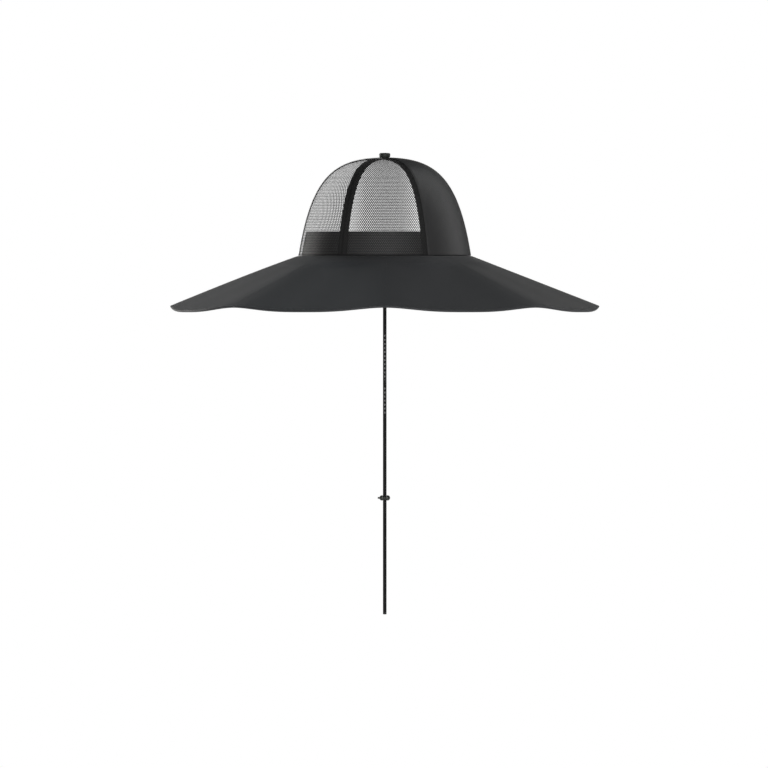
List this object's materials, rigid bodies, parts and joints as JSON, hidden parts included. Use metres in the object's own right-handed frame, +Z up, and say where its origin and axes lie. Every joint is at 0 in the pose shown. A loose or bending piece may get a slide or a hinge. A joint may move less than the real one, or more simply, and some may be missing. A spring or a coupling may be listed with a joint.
{
  "type": "wide-brimmed mesh-crown sun hat with chin cord",
  "caption": "Wide-brimmed sun hat with a part-mesh crown, a lobed sloping brim and a hanging chin cord with a spring cord lock.",
  "frame": {"origin": "middle of the head opening, level with the seam of crown and brim", "axes": "+X the way the wearer looks, +Y the wearer's left, +Z up"},
  "size_m": [0.524, 0.49, 0.5631],
  "materials": {
    "front_cloth": "smooth satin weave, dark grey",
    "mesh_cloth": "open knitted mesh, black",
    "seam_tape": "twill tape, black",
    "sweatband": "soft matt weave, near black",
    "top_button": "cloth stretched over a metal disc, dark grey green",
    "brim_cloth": "smooth stiffened weave, dark grey",
    "chin_cord": "flat woven cord, black",
    "lock_plastic": "moulded, half gloss"
  },
  "bodies": {
    "hat": {"front_panel_left": "front_cloth", "front_panel_right": "front_cloth", "side_mesh_left": "mesh_cloth", "side_mesh_right": "mesh_cloth", "back_mesh_left": "mesh_cloth", "back_mesh_right": "mesh_cloth", "seam_tape_front": "seam_tape", "seam_tape_front_left": "seam_tape", "seam_tape_back_left": "seam_tape", "seam_tape_back": "seam_tape", "seam_tape_back_right": "seam_tape", "seam_tape_front_right": "seam_tape", "sweatband": "sweatband", "top_button": "top_button", "brim_gore_1": "brim_cloth", "brim_gore_2": "brim_cloth", "brim_gore_3": "brim_cloth", "brim_gore_4": "brim_cloth", "brim_gore_5": "brim_cloth", "brim_gore_6": "brim_cloth", "brim_gore_7": "brim_cloth", "brim_gore_8": "brim_cloth", "cord_tab_left": "seam_tape", "cord_tab_right": "seam_tape", "chin_cord": "chin_cord", "cord_lock_body": "lock_plastic"},
    "lock_button": {"cord_lock_button": "lock_plastic"}
  },
  "joints": [
    {"name": "lock_button_press", "type": "slide", "parent": "hat", "child": "lock_button", "axis": [1, 0, 0], "range_m": [0, 0.0015], "stiffness_N_per_m": 300}
  ]
}
